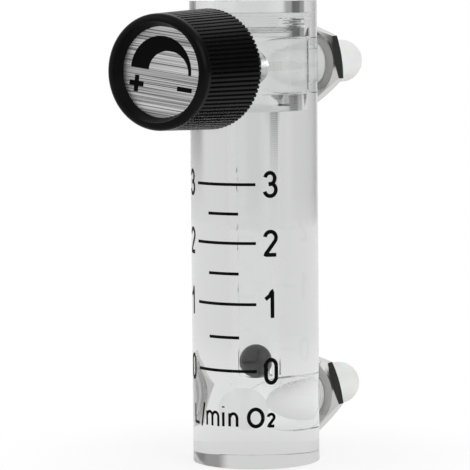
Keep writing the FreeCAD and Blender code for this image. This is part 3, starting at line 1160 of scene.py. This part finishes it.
def glyph_strokes(sign: str) -> list[Stroke]:
    """Strokes of one sign.

    Args:
        sign: The sign.

    Returns:
        Its strokes, in a box of 1 by 1 that the centre lines fill.
    """
    stem = Stroke((0.0, 0.0), (0.0, 1.0))
    shapes = {
        "0": [Stroke().arc((0.47, 0.72), (0.45, 0.28), 0, 180).arc((0.47, 0.28), (0.45, 0.28), 180, 360)
              .line((0.92, 0.72))],
        "1": [Stroke((0.02, 0.72), (0.4, 0.88), (0.62, 1.09), (0.62, -0.09))],
        "2": [Stroke().arc((0.5, 0.74), (0.48, 0.26), 172, -32).line((0.02, 0.0), (1.0, 0.0))],
        "3": [Stroke().arc((0.48, 0.755), (0.42, 0.245), 168, -84).line((0.36, 0.51)),
              Stroke((0.36, 0.51)).arc((0.5, 0.27), (0.5, 0.27), 78, -165)],
        "L": [Stroke((0.0, 1.0), (0.0, 0.0), (1.0, 0.0))],
        "/": [Stroke((0.0, 0.0), (1.0, 1.0))],
        "m": [stem, Stroke((0.5, 0.0), (0.5, 0.66)).arc((0.26, 0.66), (0.24, 0.32), 0, 165),
              Stroke((1.0, 0.0), (1.0, 0.66)).arc((0.76, 0.66), (0.24, 0.32), 0, 165)],
        "n": [stem, Stroke((1.0, 0.0), (1.0, 0.62)).arc((0.52, 0.62), (0.48, 0.36), 0, 165)],
        "i": [Stroke((0.5, 0.0), (0.5, 0.70)), Stroke((0.5, 0.93), (0.5, 1.0))],
        "O": [Stroke().arc((0.5, 0.5), (0.5, 0.5), 0, 360, 48)],
    }
    return shapes[sign]


@dataclass(frozen=True)
class Mark:
    """One sign of the scale's unit: its place round the rod and up it, and its stroke."""
    sign: str
    left_deg: float
    right_deg: float
    low: float
    high: float
    stroke: float


@dataclass
class Scale:
    """The scale printed on the rod's front: lines, numbers on both sides, and the unit under them."""
    line_stroke: float = 0.6 * MM
    major_half_deg: float = 31.0
    minor_half_deg: float = 15.4
    major_heights: tuple[float, ...] = (18.59 * MM, 31.24 * MM, 42.75 * MM, 53.79 * MM)
    minor_heights: tuple[float, ...] = (24.93 * MM, 36.99 * MM, 48.26 * MM)
    number_near_deg: float = 37.0
    number_far_deg: float = 51.1
    number_height: float = 5.15 * MM
    number_stroke: float = 0.78 * MM
    ink_height: float = 0.03 * MM
    path_step: float = 0.25 * MM
    pen_roundness: int = 3
    unit: tuple[Mark, ...] = (
        Mark("L", -42.2, -31.0, 7.75 * MM, 11.8 * MM, 0.54 * MM),
        Mark("/", -28.9, -22.1, 7.3 * MM, 12.35 * MM, 0.5 * MM),
        Mark("m", -21.0, -4.7, 7.65 * MM, 10.9 * MM, 0.54 * MM),
        Mark("i", -2.2, 0.9, 7.7 * MM, 12.1 * MM, 0.58 * MM),
        Mark("n", 4.4, 14.1, 7.78 * MM, 10.85 * MM, 0.56 * MM),
        Mark("O", 21.6, 37.7, 7.8 * MM, 11.8 * MM, 0.74 * MM),
        Mark("2", 39.2, 47.7, 7.88 * MM, 10.75 * MM, 0.6 * MM),
    )

    def __post_init__(self) -> None:
        """Reads the rod's radius."""
        self.radius: float = span("acrylic_rod")[1].x

    def drawn(self, strokes: Sequence[Stroke], low: Pair, high: Pair, width: float, name: str) -> None:
        """Draws strokes as flat ink on the rod, a thin closed mesh that follows it.

        Args:
            strokes: Centre lines in a box of 1 by 1.
            low: Lower left corner of the outline's box: metres round the rod and height.
            high: Upper right corner.
            width: Width of the pen.
            name: The piece's name.
        """
        inset = width / 2
        wide, tall = high[0] - low[0] - width, high[1] - low[1] - width
        curve = bpy.data.curves.new(name, "CURVE")
        curve.dimensions = "3D"
        curve.bevel_depth = inset
        curve.bevel_resolution = self.pen_roundness
        curve.use_fill_caps = True
        for stroke in strokes:
            places = [(low[0] + inset + x * wide, low[1] + inset + y * tall) for x, y in stroke.points]
            route = list(self.even(places))
            line = curve.splines.new("POLY")
            line.points.add(len(route) - 1)
            for point, (x, y) in zip(line.points, route):
                point.co = (x, 0, y, 1)
        drawing = placed(name, curve)
        mesh = evaluated(drawing)
        bpy.data.objects.remove(drawing)
        self.wrap(mesh, width)
        settle(placed(name, mesh), INK, Slot.KNOB, Body.HOUSING)

    def even(self, places: Sequence[Pair]) -> Iterable[Pair]:
        """Divides straight runs, so that they can bend round the rod.

        Args:
            places: The runs' ends.

        Yields:
            Points close enough together.
        """
        for (x, y), (next_x, next_y) in zip(places, places[1:]):
            length = math.hypot(next_x - x, next_y - y)
            if length < MERGE_DISTANCE:
                continue
            pieces = max(1, math.ceil(length / self.path_step))
            for index in range(pieces):
                share = index / pieces
                yield x + (next_x - x) * share, y + (next_y - y) * share
        yield places[-1]

    def wrap(self, mesh: bpy.types.Mesh, width: float) -> None:
        """Flattens a round pen line to ink height and bends it round the rod's front.

        Args:
            mesh: The pen line, changed in place.
            width: Width of the pen.
        """
        shape = bmesh.new()
        shape.from_mesh(mesh)
        bmesh.ops.remove_doubles(shape, verts=shape.verts, dist=MERGE_DISTANCE)
        bmesh.ops.recalc_face_normals(shape, faces=shape.faces)
        for vert in shape.verts:
            angle = vert.co.x / self.radius
            radius = self.radius + self.ink_height - vert.co.y * self.ink_height / width
            vert.co = Vector((radius * math.sin(angle), -radius * math.cos(angle), vert.co.z))
        shape.to_mesh(mesh)
        shape.free()
        mesh.shade_smooth()

    def around(self, degrees: float) -> float:
        """Distance round the rod from its front line."""
        return math.radians(degrees) * self.radius

    def lines(self) -> None:
        """Prints the long and the short lines."""
        level = [Stroke((0, 0.5), (1, 0.5))]
        half_stroke = self.line_stroke / 2
        for heights, half_deg, kind in ((self.major_heights, self.major_half_deg, "major"),
                                        (self.minor_heights, self.minor_half_deg, "minor")):
            reach = self.around(half_deg) + half_stroke
            for index, height in enumerate(heights):
                self.drawn(level, (-reach, height - half_stroke), (reach, height + half_stroke),
                           self.line_stroke, f"{kind}_line_{index}")

    def numbers(self) -> None:
        """Prints each long line's number at both of its ends."""
        near, far = self.around(self.number_near_deg), self.around(self.number_far_deg)
        for value, height in enumerate(self.major_heights):
            low, high = height - self.number_height / 2, height + self.number_height / 2
            for side, left, right in (("right", near, far), ("left", -far, -near)):
                self.drawn(glyph_strokes(str(value)), (left, low), (right, high), self.number_stroke,
                           f"number_{value}_{side}")

    def build(self) -> None:
        """Prints lines, numbers and unit."""
        self.lines()
        self.numbers()
        for index, mark in enumerate(self.unit):
            self.drawn(glyph_strokes(mark.sign), (self.around(mark.left_deg), mark.low),
                       (self.around(mark.right_deg), mark.high), mark.stroke, f"unit_sign_{index}")


@dataclass
class BallFloat:
    """The ball in the tapered tube."""
    node: str = "float_ball"

    def build(self) -> None:
        """Dresses the ball."""
        dress(self.node, BALL_BLACK)


@dataclass(frozen=True)
class Viewpoint:
    """The camera of the photograph."""
    azimuth_deg: float = 30.4
    elevation_deg: float = 5.22
    roll_deg: float = -0.48
    distance: float = 542.49 * MM
    lens: float = 217.2
    sensor: float = 36.0
    aside: float = -3.78 * MM
    height: float = 43.28 * MM
    far_clip: float = 10.0

    def build(self) -> None:
        """Makes the camera and gives it to the scene."""
        angles = (self.azimuth_deg, self.elevation_deg, self.roll_deg)
        azimuth, elevation, roll = (math.radians(value) for value in angles)
        back = Vector((math.sin(azimuth) * math.cos(elevation), -math.cos(azimuth) * math.cos(elevation),
                       math.sin(elevation)))
        right = Vector((math.cos(azimuth), math.sin(azimuth), 0))
        up = back.cross(right)
        target = Vector((self.aside * right.x, self.aside * right.y, self.height))
        level = right * math.cos(roll) + up * math.sin(roll)
        upright = up * math.cos(roll) - right * math.sin(roll)
        lens = bpy.data.cameras.new("camera")
        lens.lens = self.lens
        lens.sensor_width = self.sensor
        lens.clip_end = self.far_clip
        camera = placed("camera", lens)
        place = Matrix((level, upright, back)).transposed().to_4x4()
        place.translation = target + back * self.distance
        camera.matrix_world = place
        bpy.context.scene.camera = camera


@dataclass(frozen=True)
class Sector:
    """A darker part of the surroundings: its heading, half widths, lower edge, level and upper edge."""
    heading_deg: float
    half_deg: Pair
    low: Pair
    level: float
    high: Pair = (0.55, 0.85)

    def shade(self, recipe: Recipe) -> Signal:
        """Makes this sector's share of the light.

        Args:
            recipe: The world's nodes.

        Returns:
            The level inside the sector, and 1 outside it.
        """
        x, y, z = recipe.axes("Generated")
        heading = math.radians(self.heading_deg)
        towards = x * math.cos(heading) + y * math.sin(heading)
        narrow, wide = (math.cos(math.radians(value)) for value in self.half_deg)
        inside = towards.ease(wide, narrow) * z.ease(*self.low) * (1 - z.ease(*self.high))
        return 1 - inside * (1 - self.level)


@dataclass(frozen=True)
class Lamp:
    """A soft square lamp that faces the object's middle."""
    name: str
    place: tuple[float, float, float]
    size: float
    watts: float
    aim_height: float = 45 * MM

    def build(self) -> None:
        """Makes the lamp."""
        light = bpy.data.lights.new(self.name, "AREA")
        light.size = self.size
        light.energy = self.watts
        lamp = placed(self.name, light)
        lamp.location = Vector(self.place)
        aim = Vector((0, 0, self.aim_height)) - lamp.location
        lamp.rotation_euler = aim.to_track_quat("-Z", "Y").to_euler()


@dataclass
class Studio:
    """Pale table, white surroundings with dark sides, and soft lamps."""
    table_radius: float = 520 * MM
    table_drop: float = 0.2 * MM
    table_segments: int = 96
    cloth: Colour = (0.9, 0.9, 0.9)
    shadow_reach: Pair = (15 * MM, 60 * MM)
    shadow_share: float = 0.18
    ambient: float = 0.62
    through_level: float = 0.8
    table_level: float = 0.89
    table_near: Pair = (110 * MM, 210 * MM)
    bounces: int = 24
    reflected_dark: tuple[Sector, ...] = (
        Sector(52.0, (30.0, 48.0), (-0.095, -0.075), 0.05),
        Sector(-58.0, (32.0, 62.0), (-0.5, -0.35), 0.07),
    )
    refracted_dark: tuple[Sector, ...] = (
        Sector(52.0, (20.0, 32.0), (-0.085, -0.045), 0.45),
        Sector(62.0, (32.0, 42.0), (-0.056, -0.044), 0.4),
        Sector(-58.0, (32.0, 62.0), (-0.5, -0.35), 0.12),
    )
    lamps: tuple[Lamp, ...] = (
        Lamp("key_lamp", (0.75, -0.35, 0.5), 0.6, 3.4),
        Lamp("fill_lamp", (-0.45, -0.55, 0.75), 0.5, 1.2),
    )

    def rays(self, recipe: Recipe) -> tuple[Signal, Signal, Signal]:
        """Tells kinds of ray apart.

        Args:
            recipe: The table's or the world's nodes.

        Returns:
            1 for camera rays, for rays off a shiny surface, and for rays out of a clear one.
        """
        camera = recipe.node("ShaderNodeLightPath", output="Is Camera Ray")
        outputs = camera.socket.node.outputs
        return (camera, Signal(recipe, outputs["Is Glossy Ray"]),
                Signal(recipe, outputs["Is Transmission Ray"]))

    def table(self) -> None:
        """Makes the round table, which goes to plain white away from the object."""
        shape = bmesh.new()
        bmesh.ops.create_circle(shape, cap_ends=True, segments=self.table_segments, radius=self.table_radius)
        bmesh.ops.translate(shape, vec=(0, 0, -self.table_drop), verts=shape.verts)
        table = as_object(shape, "table")
        made = bpy.data.materials.new("pale table")
        recipe = Recipe(made)
        x, y, _ = recipe.axes()
        radius = distance(x, y)
        camera, shiny, through = self.rays(recipe)
        cloth = recipe.node("ShaderNodeBsdfDiffuse", inputs={"Color": (*self.cloth, 1)})
        seen = self.table_level + radius.ease(*self.table_near) * (self.through_level - self.table_level)
        pale = recipe.grey(1 - through * (1 - seen))
        white = recipe.node("ShaderNodeEmission", inputs={"Color": pale, "Strength": 1.0})
        share = (1 - self.shadow_share) + radius.ease(*self.shadow_reach) * self.shadow_share
        recipe.close(recipe.choose(any_of(camera, shiny, through) * share, cloth, white))
        table.data.materials.append(made)

    def surroundings(self) -> None:
        """Fills the world: white for the camera, dark sides for shiny and clear faces, else soft light."""
        world = bpy.data.worlds.new("surroundings")
        bpy.context.scene.world = world
        recipe = Recipe(world)
        camera, shiny, through = self.rays(recipe)
        reflected = shiny * (1 - through)
        for sector in self.reflected_dark:
            reflected = reflected * sector.shade(recipe)
        refracted = through * self.through_level
        for sector in self.refracted_dark:
            refracted = refracted * sector.shade(recipe)
        plain = 1 - any_of(camera, shiny, through)
        strength = camera + reflected + refracted + plain * self.ambient
        recipe.close(recipe.node("ShaderNodeBackground", inputs={"Color": CLEAR_WHITE, "Strength": strength}))

    def build(self) -> None:
        """Makes table, surroundings and lamps, and sets plain colours."""
        self.table()
        self.surroundings()
        for lamp in self.lamps:
            lamp.build()
        scene = bpy.context.scene
        scene.view_settings.view_transform = "Standard"
        scene.cycles.max_bounces = self.bounces
        scene.cycles.transmission_bounces = self.bounces


def main() -> None:
    """Builds every part of the object and the studio."""
    logging.basicConfig(level=logging.INFO, format="%(name)s %(message)s")
    parts = [Viewpoint(), Studio(), ClearParts(), Port("upper", holds_seat=True), Port("lower"), Valve(),
             Knob(), Scale(), BallFloat()]
    for part in parts:
        part.build()


if __name__ == "__main__":
    main()
